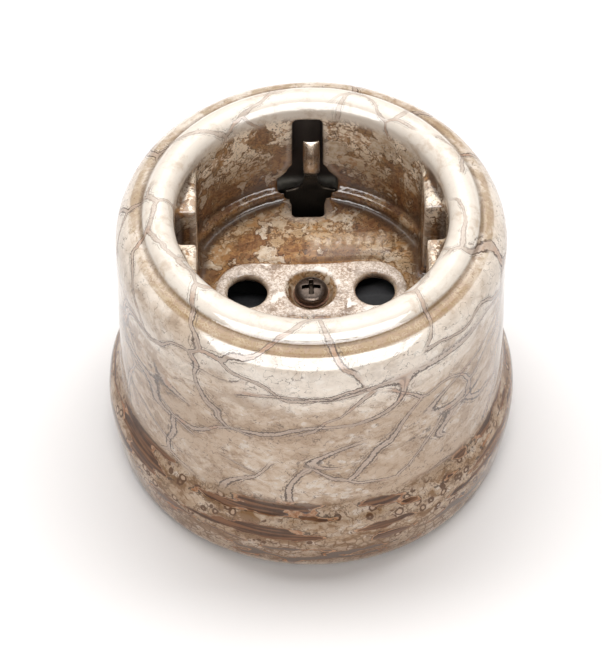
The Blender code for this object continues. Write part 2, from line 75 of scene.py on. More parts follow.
class Finish:
    """A Principled material built from short calls; every value may be a number, a colour or a socket."""

    def __init__(self, name):
        self.material = bpy.data.materials.new(name)
        self.material.use_nodes = True
        self.tree = self.material.node_tree
        self.shader = self.tree.nodes["Principled BSDF"]
        coordinates = self.add("ShaderNodeTexCoord").outputs["Object"]
        self.place = self.scaled(coordinates, (1 / MM, 1 / MM, 1 / MM))

    def add(self, kind, inputs=None, **settings):
        node = self.tree.nodes.new(kind)
        for key, value in settings.items():
            setattr(node, key, value)
        for key, value in (inputs or {}).items():
            self.put(node.inputs[key], value)
        return node

    def put(self, socket, value):
        if isinstance(value, bpy.types.NodeSocket):
            self.tree.links.new(value, socket)
        elif socket.type == "RGBA" and len(value) == 3:
            socket.default_value = (*value, 1.0)
        else:
            socket.default_value = value

    def set(self, **values):
        for key, value in values.items():
            self.put(self.shader.inputs[key.replace("_", " ").title().replace("Ior", "IOR")], value)

    def math(self, operation, a, b=0.0, clamp=False):
        return self.add("ShaderNodeMath", {0: a, 1: b}, operation=operation, use_clamp=clamp).outputs[0]

    def scaled(self, vector, factors):
        return self.add("ShaderNodeVectorMath", {0: vector, 1: factors}, operation="MULTIPLY").outputs[0]

    def split(self, vector):
        return self.add("ShaderNodeSeparateXYZ", {0: vector}).outputs

    def noise(self, vector, size, detail=3.0, roughness=0.55, stretch=(1, 1, 1)):
        """A noise whose features are about `size` mm across, stretched along the axes."""
        squeezed = self.scaled(vector, tuple(1 / (size * s) for s in stretch))
        made = self.add("ShaderNodeTexNoise", {"Vector": squeezed, "Scale": 1.0, "Detail": detail,
                                               "Roughness": roughness})
        return made.outputs["Fac"]

    def warped(self, vector, size, amount, detail=3.0):
        """The vector pushed about by up to `amount` mm in patches of `size` mm."""
        made = self.add("ShaderNodeTexNoise", {"Vector": vector, "Scale": 1.0 / size, "Detail": detail})
        centred = self.add("ShaderNodeVectorMath", {0: made.outputs["Color"], 1: (0.5, 0.5, 0.5)},
                           operation="SUBTRACT").outputs[0]
        push = self.scaled(centred, (2 * amount, 2 * amount, 2 * amount))
        return self.add("ShaderNodeVectorMath", {0: vector, 1: push}, operation="ADD").outputs[0]

    def cells(self, vector, size, feature="DISTANCE_TO_EDGE", stretch=(1, 1, 1), flat=False):
        squeezed = self.scaled(vector, tuple(1 / (size * s) for s in stretch))
        made = self.add("ShaderNodeTexVoronoi", {"Vector": squeezed, "Scale": 1.0}, feature=feature,
                        voronoi_dimensions="2D" if flat else "3D")
        return made.outputs["Distance"]

    def attribute(self, name):
        return self.add("ShaderNodeAttribute", attribute_name=name).outputs["Fac"]

    def fade(self, value, low, high, out_low=0.0, out_high=1.0):
        """Smoothly from out_low at `low` to out_high at `high`; low may be the larger."""
        return self.add("ShaderNodeMapRange", {"Value": value, "From Min": low, "From Max": high,
                                               "To Min": out_low, "To Max": out_high},
                        interpolation_type="SMOOTHSTEP").outputs[0]

    def band(self, value, low, high, soft):
        """1 between low and high, fading to 0 over `soft` on either side."""
        return self.math("MULTIPLY", self.fade(value, low - soft, low), self.fade(value, high + soft, high))

    def blend(self, factor, a, b, mode="MIX"):
        return self.add("ShaderNodeMix", {0: factor, 6: a, 7: b}, data_type="RGBA", blend_type=mode,
                        clamp_factor=True).outputs[2]

    def product(self, *values):
        result = values[0]
        for value in values[1:]:
            result = self.math("MULTIPLY", result, value)
        return result

    def bump(self, height, strength=1.0):
        """Height in millimetres."""
        made = self.add("ShaderNodeBump", {"Height": height, "Distance": MM, "Strength": strength})
        self.put(self.shader.inputs["Normal"], made.outputs[0])


# ---------------------------------------------------------------- glaze

MILK, CREAM, SAND = (0.68, 0.615, 0.545), (0.575, 0.465, 0.365), (0.475, 0.36, 0.262)
TAN, OLIVE, BROWN = (0.31, 0.205, 0.125), (0.29, 0.195, 0.10), (0.13, 0.070, 0.035)
AMBER, RUST, SLOT_SHADE = (0.33, 0.18, 0.075), (0.17, 0.070, 0.026), (0.022, 0.014, 0.010)
POOL, POOL_GREY = (0.055, 0.030, 0.018), (0.125, 0.092, 0.074)
VEIN_CORE, VEIN_ROSE, VEIN_DARK = (0.38, 0.29, 0.23), (0.37, 0.225, 0.15), (0.065, 0.040, 0.028)


class Glaze(Finish):
    """The cover's finish: masks for the zones of the cover, and the noises that several zones share."""

    def __init__(self):
        super().__init__("glazed_porcelain")
        self.x, self.y, self.z = self.split(self.place)
        across, along = self.math("MULTIPLY", self.x, self.x), self.math("MULTIPLY", self.y, self.y)
        self.radius = self.math("SQRT", self.math("ADD", across, along))
        self.off_x, self.off_y = self.math("ABSOLUTE", self.x), self.math("ABSOLUTE", self.y)
        self.cavity, self.bare = self.attribute("cavity"), self.attribute("bare")
        angle = self.math("ARCTAN2", self.x, self.math("MULTIPLY", self.y, -1.0))
        around = self.math("MULTIPLY", angle, WALL_R)
        self.surface = self.add("ShaderNodeCombineXYZ", {0: around, 1: self.attribute("meridian")}).outputs[0]
        self.off_seam = self.fade(self.math("ABSOLUTE", around), 88.0, 80.0)
        self.make_zones()
        self.make_noises()

    def make_zones(self):
        radius, z = self.radius, self.z
        self.in_recess = self.product(self.fade(radius, 20.7, 20.1), self.fade(z, 45.6, 43.6),
                                      self.fade(z, 27.4, 28.0))
        self.on_crest = self.product(self.fade(z, 43.6, 45.0), self.fade(radius, 24.6, 24.2))
        self.on_band = self.product(self.band(radius, 24.55, 26.3, 0.25), self.fade(z, 44.4, 45.2))
        self.on_foot = self.product(self.fade(z, 15.8, 13.6), self.fade(radius, 26.0, 27.0))
        self.on_island = self.product(self.fade(radius, 15.5, 14.0),
                                      self.fade(z, RECESS_FLOOR + 0.35, PLATFORM_TOP - 0.1),
                                      self.fade(z, PLATFORM_TOP + 0.6, PLATFORM_TOP + 0.2))
        self.in_slot = self.product(self.fade(self.off_x, 5.3, 4.9), self.fade(self.off_y, 19.75, 20.1),
                                    self.fade(radius, 26.2, 25.4), self.fade(z, 45.0, 44.5))

    def make_noises(self):
        drift = self.warped(self.place, 9.0, 2.4)
        self.cloud = self.noise(drift, 11.0, 4.0, 0.62, (1, 1, 0.7))
        self.mottle = self.noise(drift, 1.7, 4.0, 0.68, (1.2, 1.2, 0.9))
        self.fleck = self.noise(self.warped(self.place, 2.0, 0.6), 0.7, 3.0, 0.6, (1.3, 1.3, 0.9))
        self.stain = self.noise(self.warped(self.place, 5.0, 3.0), 4.0, 5.0, 0.68, (1.3, 1.3, 0.8))
        self.grain = self.noise(self.place, 0.36, 3.0, 0.75)
        self.gathered = self.noise(self.place, 4.5, 2.0)
        self.curls = self.noise(self.warped(self.place, 1.3, 0.7), 1.9, 2.0, 0.5, (1.2, 1.2, 0.9))
        self.small_curls = self.noise(self.warped(self.place, 0.7, 0.4), 0.9, 1.0)
        self.speckle_glint = self.noise(self.place, 0.30, 2.0, 0.8)
        self.curly = self.product(self.band(self.curls, 0.478, 0.508, 0.014),
                                  self.fade(self.gathered, 0.36, 0.44))
        self.freckles = self.product(self.fade(self.grain, 0.55, 0.61), self.fade(self.gathered, 0.40, 0.50))

    def coats(self, color, *coats):
        """The colour under a row of coats, each a tone and the masks whose product says how much of it."""
        for tone, *masks in coats:
            color = self.blend(self.product(*masks), color, tone)
        return color

    def two_tone(self, value, low, high, one, other):
        """From one tone at `low` to the other at `high`."""
        return self.blend(self.fade(value, low, high), one, other)


def clouds(g):
    """Cream and tan clouds, pebbles of milk and brown stains; painted shade darker low down and on the left
    and right flanks, painted light paler high up.
    """
    pebbles = g.cells(g.warped(g.place, 1.5, 0.5), 1.5, "F1", (1.3, 1.3, 0.9))
    # painted shade: the left and right flanks, as the camera sees them, get more tan and stronger stains
    pebbly = g.noise(g.place, 9.0, 2.0)
    shaded_flank = g.fade(g.off_x, 19.0, 26.0)
    stain_rim = g.band(g.stain, 0.565, 0.575, 0.006)
    return g.coats(
        g.two_tone(g.cloud, 0.38, 0.60, CREAM, SAND),
        (TAN, g.fade(g.mottle, 0.50, 0.62), g.fade(g.fleck, 0.35, 0.6, 0.25, 0.75)),
        (MILK, g.fade(g.mottle, 0.47, 0.38), g.fade(g.cloud, 0.60, 0.45),
         g.fade(g.fleck, 0.35, 0.55, 0.9, 0.45)),
        (MILK, g.fade(pebbles, 0.40, 0.30), g.fade(pebbly, 0.50, 0.58), 0.7),
        # painted shade: more tan towards the bottom of the wall
        (TAN, g.fade(g.z, 40.0, 30.0, 0.0, 0.36)),
        ((0.25, 0.155, 0.085), g.fade(g.stain, 0.48, 0.58), g.math("ADD", 0.55, g.product(shaded_flank, 0.3))),
        (BROWN, stain_rim, g.fade(g.fleck, 0.40, 0.55), 0.5),
        (TAN, shaded_flank, 0.22),
        # painted light: a pale coat towards the top of the wall
        ((0.78, 0.71, 0.63), g.fade(g.z, 33.0, 41.0), g.fade(g.cloud, 0.62, 0.45, 0.15, 0.6)),
    )


def grain_and_hair(g, color):
    """Fine dark grain and curling hair lines, gathered in patches."""
    hair = g.product(g.band(g.curls, 0.494, 0.502, 0.006), g.fade(g.gathered, 0.42, 0.50))
    fine_hair = g.product(g.band(g.small_curls, 0.490, 0.502, 0.010), g.fade(g.gathered, 0.50, 0.44), 0.5)
    return g.coats(
        color,
        (VEIN_DARK, g.fade(g.grain, 0.60, 0.67), g.fade(g.gathered, 0.50, 0.60), 0.45),
        (VEIN_DARK, g.math("MAXIMUM", hair, fine_hair), 0.6),
    )


def crest_and_band(g, color):
    """The pale crest with its stains, and the tan band in the dip outside it, strongest in front."""
    swirl = g.noise(g.warped(g.place, 2.0, 0.9), 1.6, 2.0)
    swirling = g.math("MAXIMUM", g.band(swirl, 0.455, 0.480, 0.010), g.fade(swirl, 0.40, 0.36))
    band_tone = g.coats(
        g.two_tone(g.fleck, 0.42, 0.58, OLIVE, TAN),
        ((0.38, 0.28, 0.17), swirling),
        (RUST, g.fade(g.grain, 0.55, 0.66), 0.5),
    )
    in_front = g.fade(g.y, -8.0, -19.0, g.fade(g.stain, 0.40, 0.56, 0.1, 0.7), 0.95)
    return g.coats(
        color,
        ((0.665, 0.600, 0.525), g.on_crest, g.fade(g.mottle, 0.40, 0.62, 0.95, 0.75)),
        ((0.40, 0.28, 0.18), g.fade(g.stain, 0.50, 0.62), g.fade(g.fleck, 0.35, 0.60, 0.3, 1.0),
         g.on_crest, 0.55),
        (band_tone, g.on_band, in_front, g.fade(g.cloud, 0.30, 0.42, 0.6, 1.0)),
    )


def recess(g, color):
    """Milky above and brown below, with curling amber stains, rust clouds and spilt milk."""
    rusty = g.noise(g.warped(g.warped(g.place, 4.0, 2.2), 1.2, 0.5), 5.0, 4.0, 0.60, (1, 1, 1.2))
    by_slot = g.product(g.fade(g.off_x, 9.0, 4.5), g.band(g.z, 31.0, 38.0, 3.0), 0.05)
    rust_belt = g.product(g.band(g.z, 29.6, 34.0, 1.2), g.fade(g.radius, 18.9, 19.4), 0.09)
    low_down = g.math("ADD", g.fade(g.z, 44.5, 36.0, -0.06, -0.01), g.math("ADD", rust_belt, by_slot))
    stained = g.math("ADD", rusty, low_down)
    spilt = g.noise(g.warped(g.warped(g.place, 2.6, 1.6), 0.9, 0.3), 4.2, 3.0, 0.55)
    milk_level = g.math("ADD", spilt, g.fade(g.z, 40.0, 30.0, 0.0, 0.015))
    rust_tone = g.two_tone(g.fleck, 0.40, 0.60, (0.13, 0.052, 0.020), (0.21, 0.105, 0.048))
    milk_tone = g.two_tone(g.fleck, 0.42, 0.60, (0.58, 0.52, 0.45), (0.44, 0.35, 0.26))
    raised = g.attribute("raised")
    tone = g.coats(
        g.two_tone(g.mottle, 0.40, 0.58, (0.48, 0.39, 0.295), (0.35, 0.25, 0.155)),
        ((0.88, 0.80, 0.70), g.fade(g.z, 34.0, 42.0, 0.0, 0.85)),
        ((0.27, 0.170, 0.090), g.fade(stained, 0.455, 0.500)),
        (BROWN, g.band(stained, 0.492, 0.500, 0.006), 0.7),
        (rust_tone, g.fade(stained, 0.520, 0.545), 0.92),
        (AMBER, g.band(g.curls, 0.45, 0.51, 0.03), 0.6),
        (BROWN, g.curly, 0.8),
        (AMBER, g.fade(g.small_curls, 0.56, 0.61), g.fade(g.gathered, 0.58, 0.46), 0.75),
        (milk_tone, g.fade(milk_level, 0.440, 0.410), 0.85),
        (POOL, g.band(milk_level, 0.440, 0.449, 0.005), 0.85),
        (POOL, g.freckles, 0.85),
        (BROWN, g.band(raised, 0.15, 0.40, 0.12), 0.40),
        # partly painted highlight: the raised tablet's top is paler, for thinner glaze and for the light
        # caught on it
        ((0.55, 0.46, 0.36), g.fade(raised, 0.45, 0.95, 0.0, 0.55), g.fade(g.fleck, 0.60, 0.40, 0.4, 1.0)),
    )
    warmed = g.blend(1.0, tone, (1.0, 0.94, 0.85), "MULTIPLY")
    return g.coats(color, (warmed, g.in_recess, 0.97))


def island(g, color):
    """The raised island round the pin holes, speckled pale and brown, the pale specks partly painted glints,
    over a bump of small crystals.
    """
    tone = g.coats(
        # partly painted glints: the pale specks stand for bright sparkles as well as pale crystals
        g.two_tone(g.speckle_glint, 0.40, 0.58, (0.66, 0.57, 0.49), (0.30, 0.21, 0.15)),
        (BROWN, g.fade(g.mottle, 0.52, 0.62), 0.8),
        ((0.74, 0.69, 0.64), g.fade(g.curls, 0.40, 0.34)),
    )
    return g.coats(color, (tone, g.on_island, 0.92))


def vein_masks(g, distance, half_width, seen):
    """Masks for a vein's pale core, the frayed dark lines along it, and the dust beside it."""
    fray = g.noise(g.place, 0.38, 2.0)
    uneven = g.noise(g.place, 2.4, 2.0)
    frayed = g.math("ADD", distance, g.fade(fray, 0.3, 0.7, -0.08, 0.08))
    core = g.fade(distance, half_width + 0.05, half_width - 0.05)
    sides = g.product(g.band(frayed, half_width - 0.06, half_width + 0.07, 0.06),
                      g.fade(uneven, 0.30, 0.50, 0.4, 1.0))
    middle = g.product(g.band(distance, -0.1, 0.02, 0.05), g.fade(uneven, 0.52, 0.44), 0.5)
    beside = g.product(g.band(frayed, half_width + 0.34, half_width + 0.40, 0.05),
                       g.fade(uneven, 0.46, 0.54), 0.9)
    dust = g.product(g.fade(frayed, 1.5, 0.5), g.fade(fray, 0.56, 0.66), g.fade(uneven, 0.42, 0.56))
    masks = core, g.math("MAXIMUM", sides, middle), g.math("MAXIMUM", dust, beside)
    return [g.product(mask, seen) for mask in masks]


def veins(g, color):
    """A crackle of cells and long, nearly level loops; gives the colour and the dark lines' mask."""
    bent = g.warped(g.warped(g.warped(g.surface, 15.0, 5.0, 1.0), 5.0, 1.2, 1.0), 1.3, 0.20, 2.0)
    cell = 14.0
    cell_gap = g.math("MULTIPLY", g.cells(g.scaled(bent, (0.85, 1.25, 1.0)), cell, flat=True), cell)
    cells_seen = g.product(g.fade(g.noise(g.place, 12.0, 1.0), 0.36, 0.42), g.off_seam,
                           g.fade(g.on_foot, 0.0, 1.0, 1.0, 0.2), g.fade(g.in_recess, 0.0, 0.8, 1.0, 0.12),
                           g.fade(g.bare, 0.5, 0.0), g.fade(g.radius, 12.0, 18.0))
    swayed = g.warped(g.warped(g.surface, 20.0, 4.5, 1.0), 1.5, 0.12, 2.0)
    loops = g.noise(swayed, 9.0, 0.0, 0.5, (2.8, 0.75, 1.0))
    loop_gap = g.math("MULTIPLY", g.math("ABSOLUTE", g.math("SUBTRACT", loops, 0.495)), 15.0)
    loops_seen = g.product(g.fade(g.noise(g.place, 15.0, 1.0, 0.5, (1, 1, 0.5)), 0.40, 0.46),
                           g.band(g.z, 18.5, 40.0, 1.5), g.fade(g.radius, 26.0, 27.0), g.off_seam)
    both = zip(vein_masks(g, cell_gap, 0.36, cells_seen), vein_masks(g, loop_gap, 0.32, loops_seen))
    core, edge, dust = [g.math("MAXIMUM", of_cells, of_loops) for of_cells, of_loops in both]
    core_tone = g.two_tone(g.noise(g.place, 5.0, 2.0), 0.56, 0.66, VEIN_CORE, VEIN_ROSE)
    color = g.coats(
        color,
        (VEIN_DARK, dust, 0.7),
        (core_tone, core, 0.75),
        (VEIN_DARK, edge, g.fade(g.on_crest, 0.0, 1.0, 0.9, 0.55)),
    )
    return color, edge


def foot(g, color):
    """Pools with rusty rims, ring spots, cobbles low down; gives the colour and the pools' mask."""
    level = g.noise(g.warped(g.surface, 3.5, 1.0), 3.4, 1.0, 0.5, (3.6, 0.60, 1.0))
    for low, high, soft, amount in ((12.2, 13.6, 1.0, 0.09), (8.6, 9.8, 0.9, 0.07), (3.4, 5.0, 0.8, 0.05)):
        level = g.math("ADD", level, g.product(g.band(g.z, low, high, soft), amount))
    level = g.math("ADD", level, g.fade(g.noise(g.place, 0.9, 3.0), 0.3, 0.7, -0.010, 0.010))
    pool = g.product(g.fade(level, 0.612, 0.620), g.on_foot)
    outline = g.math("MAXIMUM", g.band(level, 0.570, 0.580, 0.005), g.band(level, 0.611, 0.619, 0.004))
    # partly painted reflection: the lighter streaks inside the pools are copper streaks and a painted
    # reflection of the lights
    streak_sheen = g.noise(g.surface, 1.3, 2.0, 0.5, (7.0, 0.35, 1.0))
    inside = g.two_tone(streak_sheen, 0.42, 0.62, (0.050, 0.021, 0.010), (0.165, 0.070, 0.030))
    rim_tone = g.two_tone(g.fleck, 0.42, 0.58, (0.25, 0.100, 0.040), (0.38, 0.215, 0.12))
    spots = g.cells(g.warped(g.place, 2.0, 0.4), 2.0, "F1")
    spotted = g.product(g.fade(g.gathered, 0.43, 0.47), g.band(g.z, 6.0, 13.0, 1.0),
                        g.fade(level, 0.59, 0.57), g.on_foot)
    cobble = g.cells(g.warped(g.place, 0.9, 0.3), 1.35)
    smoke = g.noise(g.warped(g.place, 3.0, 1.6), 3.2, 4.0, 0.62, (1.6, 1.6, 0.7))
    aside = g.fade(g.off_x, 8.0, 18.0)
    upper_foot = g.product(g.band(g.z, 7.0, 13.5, 1.5), g.math("SUBTRACT", 0.04, g.product(aside, 0.04)))
    smoked = g.math("ADD", smoke, upper_foot)
    lower_share = g.math("SUBTRACT", 0.65, g.product(aside, 0.25))
    color = g.coats(
        color,
        (TAN, g.on_foot, g.fade(smoked, 0.44, 0.56), 0.85),
        ((0.175, 0.088, 0.036), g.fade(smoked, 0.54, 0.60), g.on_foot, 0.85),
        ((0.235, 0.165, 0.118), g.on_foot, g.fade(g.z, 10.0, 2.0), lower_share),
        (POOL, g.on_foot, g.freckles, 0.6),
        (BROWN, g.on_foot, g.curly, 0.55),
        (BROWN, g.fade(cobble, 0.10, 0.05), g.fade(g.z, 9.5, 7.0), g.fade(g.gathered, 0.54, 0.47),
         g.on_foot, 0.75),
        ((0.085, 0.038, 0.018), g.band(spots, 0.22, 0.33, 0.03), spotted, 0.92),
        ((0.42, 0.29, 0.20), g.fade(spots, 0.19, 0.16), spotted, 0.8),
        (VEIN_DARK, outline, g.on_foot, 0.8),
        (rim_tone, g.band(level, 0.588, 0.608, 0.006), g.on_foot, 0.85),
        (g.two_tone(g.z, 8.0, 5.0, inside, POOL_GREY), pool, 0.94),
    )
    return color, pool


def glazed_porcelain():
    """Marbled glaze: clouds, veins and brown pools; bare porcelain under the cover."""
    g = Glaze()
    color = grain_and_hair(g, clouds(g))
    color = island(g, recess(g, crest_and_band(g, color)))
    color, dark_lines = veins(g, color)
    color, pool = foot(g, color)
    bare_tone = g.two_tone(g.noise(g.place, 0.8, 3.0), 0.4, 0.6, (0.66, 0.62, 0.55), (0.55, 0.51, 0.44))
    color = g.coats(
        color,
        (POOL, g.fade(g.cavity, 0.06, 0.40), 0.8),
        (MILK, g.fade(g.cavity, -0.12, -0.40), 0.25),
        # painted shade: the walls of the earth slots painted nearly black
        (SLOT_SHADE, g.in_slot, 0.97),
        (bare_tone, g.bare),
    )
    gloss = g.fade(g.noise(g.place, 1.2, 2.0), 0.3, 0.7, 0.04, 0.09)
    roughness = g.math("ADD", gloss, g.math("MULTIPLY", g.math("MAXIMUM", g.bare, g.in_slot), 0.5))
    pimples = g.math("ADD", g.product(g.math("ADD", g.in_recess, g.on_island), 0.026), 0.004)
    relief = g.math("MULTIPLY", g.noise(g.place, 2.4, 2.0), 0.035)
    for part in ((g.grain, pimples), (g.curls, g.in_recess, 0.05), (g.speckle_glint, g.on_island, 0.025),
                 (dark_lines, -0.02), (pool, -0.03)):
        relief = g.math("ADD", relief, g.product(*part))
    g.set(base_color=color, roughness=roughness, ior=1.56,
          specular_ior_level=g.fade(g.math("MAXIMUM", g.on_foot, g.in_slot), 0.0, 1.0, 0.5, 0.22))
    g.bump(relief)
    return g.material


# ---------------------------------------------------------------- other finishes

def raw_porcelain():
    g = Finish("raw_porcelain")
    grain = g.noise(g.place, 0.7, 4.0, 0.7)
    cloud = g.noise(g.place, 9.0, 3.0)
    color = g.blend(g.fade(cloud, 0.4, 0.6), (0.77, 0.74, 0.67), (0.70, 0.66, 0.58))
    color = g.blend(g.fade(grain, 0.60, 0.70, 0.0, 0.5), color, (0.42, 0.36, 0.30))
    g.set(base_color=color, roughness=g.fade(grain, 0.3, 0.7, 0.5, 0.68))
    g.bump(g.math("MULTIPLY", grain, 0.03))
    return g.material


def black_insert():
    g = Finish("black_insert")
    grain = g.noise(g.place, 0.35, 3.0, 0.7)
    scuff = g.noise(g.warped(g.place, 4.0, 2.0), 1.6, 5.0, 0.75, (3.0, 1.0, 1.0))
    color = g.blend(g.fade(scuff, 0.55, 0.75, 0.0, 0.6), (0.009, 0.009, 0.010), (0.040, 0.040, 0.042))
    g.set(base_color=color, roughness=g.fade(grain, 0.3, 0.7, 0.42, 0.62), specular_ior_level=0.35)
    g.bump(g.math("MULTIPLY", grain, 0.02))
    return g.material


def metal(name, light, dark, stain, roughness, grain_size, stretch, stain_share, shaded_below=None):
    """A metal with directional grain, two close tones, a stain in patches, darker corners (painted shade in
    the screws' cross recesses) and, below a given height, painted shade.
    """
    g = Finish(name)
    grain = g.noise(g.place, grain_size, 4.0, 0.7, stretch)
    patches = g.noise(g.warped(g.place, 3.0, 1.0), 2.8, 4.0, 0.65)
    color = g.blend(g.fade(grain, 0.35, 0.65), light, dark)
    color = g.blend(g.fade(patches, 0.52, 0.70, 0.0, stain_share), color, stain)
    # darker in the hollows, and painted shade where the piece marks it, as in the screws' cross recesses
    color = g.blend(g.fade(g.attribute("cavity"), 0.10, 0.45, 0.0, 0.85), color, (0.03, 0.022, 0.016))
    rough = g.math("ADD", g.fade(grain, 0.3, 0.7, roughness - 0.05, roughness + 0.07),
                   g.fade(patches, 0.5, 0.75, 0.0, 0.12))
    # painted shade: low down the metal is darkened nearly to black and made rougher
    if shaded_below:
        low_shade = g.fade(g.split(g.place)[2], shaded_below, shaded_below - 4.5)
        color = g.blend(g.product(low_shade, 0.9), color, (0.030, 0.022, 0.016))
        rough = g.math("ADD", rough, g.math("MULTIPLY", low_shade, 0.25))
    g.set(base_color=color, roughness=rough, metallic=1.0)
    g.bump(g.math("MULTIPLY", grain, 0.006))
    return g.material


def fibre_washer():
    g = Finish("fibre_washer")
    fibres = g.noise(g.warped(g.place, 0.8, 0.3), 0.25, 3.0, 0.7, (4.0, 1.0, 1.0))
    color = g.blend(g.fade(fibres, 0.35, 0.65), (0.10, 0.045, 0.025), (0.24, 0.12, 0.07))
    g.set(base_color=color, roughness=0.75)
    g.bump(g.math("MULTIPLY", fibres, 0.02))
    return g.material


def make_finishes():
    return {
        "glazed_porcelain": glazed_porcelain(),
        "raw_porcelain": raw_porcelain(),
        "black_insert": black_insert(),
        "dark_bronze": metal("dark_bronze", (0.15, 0.115, 0.095), (0.10, 0.076, 0.062),
                             stain=(0.045, 0.033, 0.027), roughness=0.30, grain_size=0.5, stretch=(1, 1, 1),
                             stain_share=0.6),
        "brass": metal("brass", (0.78, 0.57, 0.27), (0.66, 0.46, 0.20),
                       stain=(0.36, 0.22, 0.10), roughness=0.26, grain_size=0.25, stretch=(1, 1, 5),
                       stain_share=0.5),
        "nickel_strip": metal("nickel_strip", (0.50, 0.43, 0.36), (0.38, 0.32, 0.26),
                              stain=(0.22, 0.155, 0.10), roughness=0.20, grain_size=0.22, stretch=(1, 1, 6),
                              stain_share=0.6, shaded_below=33.0),
        "zinc_steel": metal("zinc_steel", (0.62, 0.63, 0.65), (0.50, 0.51, 0.54),
                            stain=(0.32, 0.31, 0.29), roughness=0.30, grain_size=0.7, stretch=(1, 1, 1),
                            stain_share=0.4),
        "fibre_washer": fibre_washer(),
    }


# ---------------------------------------------------------------- mesh helpers

def linked(name, mesh):
    obj = bpy.data.objects.new(name, mesh)
    bpy.context.scene.collection.objects.link(obj)
    return obj


def welded_copy(node, name):
    """A copy of a CAD node's mesh with its doubled points merged."""
    source = frame["nodes"][node].data.copy()
    bm = bmesh.new()
    bm.from_mesh(source)
    bmesh.ops.remove_doubles(bm, verts=bm.verts, dist=1e-6)
    bm.to_mesh(source)
    bm.free()
    return linked(name, source)


def remeshed(obj, voxel):
    """The object as an even grid of small quads, `voxel` mm apart."""
    step = obj.modifiers.new("remesh", "REMESH")
    step.mode = "VOXEL"
    step.voxel_size = voxel * MM
    step.adaptivity = 0.0
    return applied(obj)


def applied(obj):
    """A new object with the modifiers applied; the old one goes."""
    name = obj.name
    graph = bpy.context.evaluated_depsgraph_get()
    mesh = bpy.data.meshes.new_from_object(obj.evaluated_get(graph), depsgraph=graph)
    mesh.materials.clear()
    bpy.data.objects.remove(obj)
    mesh.name = name
    return linked(name, mesh)


class Points:
    """A mesh's points as an array in millimetres, with smoothing over its edges."""

    def __init__(self, obj):
        self.mesh = obj.data
        count = len(self.mesh.vertices)
        flat = np.empty(count * 3)
        self.mesh.vertices.foreach_get("co", flat)
        self.co = flat.reshape(-1, 3) / MM
        pairs = np.empty(len(self.mesh.edges) * 2, dtype=np.int64)
        self.mesh.edges.foreach_get("vertices", pairs)
        self.edges = pairs.reshape(-1, 2)
        self.valence = np.bincount(pairs, minlength=count).astype(float)

    def neighbour_mean(self, values):
        first, second = self.edges[:, 0], self.edges[:, 1]
        count = len(self.co)
        totals = [np.bincount(first, column[second], count) + np.bincount(second, column[first], count)
                  for column in values.reshape(count, -1).T]
        return (np.stack(totals, axis=1) / self.valence[:, None]).reshape(values.shape)

    def smooth(self, rounds, strength=0.5):
        """The strength may be one number or one for each point."""
        strength = np.broadcast_to(strength, len(self.co))[:, None]
        for _ in range(rounds):
            self.co += strength * (self.neighbour_mean(self.co) - self.co)

    def store(self):
        self.mesh.vertices.foreach_set("co", (self.co * MM).ravel())
        self.mesh.update()

    def normals(self):
        self.store()
        flat = np.empty(len(self.co) * 3)
        self.mesh.vertices.foreach_get("normal", flat)
        return flat.reshape(-1, 3)

    def attribute(self, name, values):
        made = self.mesh.attributes.new(name, "FLOAT", "POINT")
        made.data.foreach_set("value", values.astype(np.float32))


def ramp(value, low, high):
    """0 at low, 1 at high, smooth between; low may be the larger."""
    t = np.clip((value - low) / (high - low), 0.0, 1.0)
    return t * t * (3 - 2 * t)


def arc(cx, cz, r, start, end, count):
    angles = np.radians(np.linspace(start, end, count))
    return [(cx + r * math.cos(a), cz + r * math.sin(a)) for a in angles]


def smooth_curve(points, step):
    """A Catmull-Rom curve through the points, sampled about every `step`."""
    pts = np.array(points, float)
    ends = np.vstack([2 * pts[0] - pts[1], pts, 2 * pts[-1] - pts[-2]])
    out = []
    for a, b, c, d in zip(ends, ends[1:], ends[2:], ends[3:]):
        count = max(2, int(np.linalg.norm(c - b) / step))
        t = (np.arange(count) / count)[:, None]
        out.append(0.5 * (2 * b + (c - a) * t + (2 * a - 5 * b + 4 * c - d) * t ** 2
                          + (3 * b - a - 3 * c + d) * t ** 3))
    return np.vstack(out + [pts[-1:]])


# ---------------------------------------------------------------- cover

def cover_profile():
    """Fine half section (radius, height) from the recess floor over the crest to the foot."""
    crest_z = HEIGHT - CREST_TUBE_R
    ledge = [(18.3, RECESS_FLOOR), (18.6, 28.34), (18.85, 28.6), (19.0, 28.95), (19.2, 29.2), (19.5, 29.3),
             (19.68, 29.55), (19.75, 30.0), (19.8, 30.8)]
    inner = [(RECESS_R, 32.5), (RECESS_R, 38.0), (RECESS_R, 43.0)]
    crest = arc(CREST_R, crest_z, CREST_TUBE_R, 170, 20, 13)
    crease = [(24.62, 46.12), (25.3, 45.98)]
    shoulder = [(26.2, 45.62), (27.1, 44.85), (27.9, 43.55), (28.35, 42.1), (WALL_R, 40.6)]
    wall = [(28.55, 34.0), (28.68, 26.0), (28.75, 19.0), (28.82, 15.4)]
    upper_foot = [(29.05, 13.9), (29.7, 12.4), (30.45, 10.9), (FOOT_R - 0.05, 8.8)]
    lower_foot = [(30.8, 6.4), (30.42, 3.4), (30.0, 1.0), (29.7, 0.35), (29.3, 0.05)]
    return smooth_curve(ledge + inner + crest + crease + shoulder + wall + upper_foot + lower_foot, 0.08)


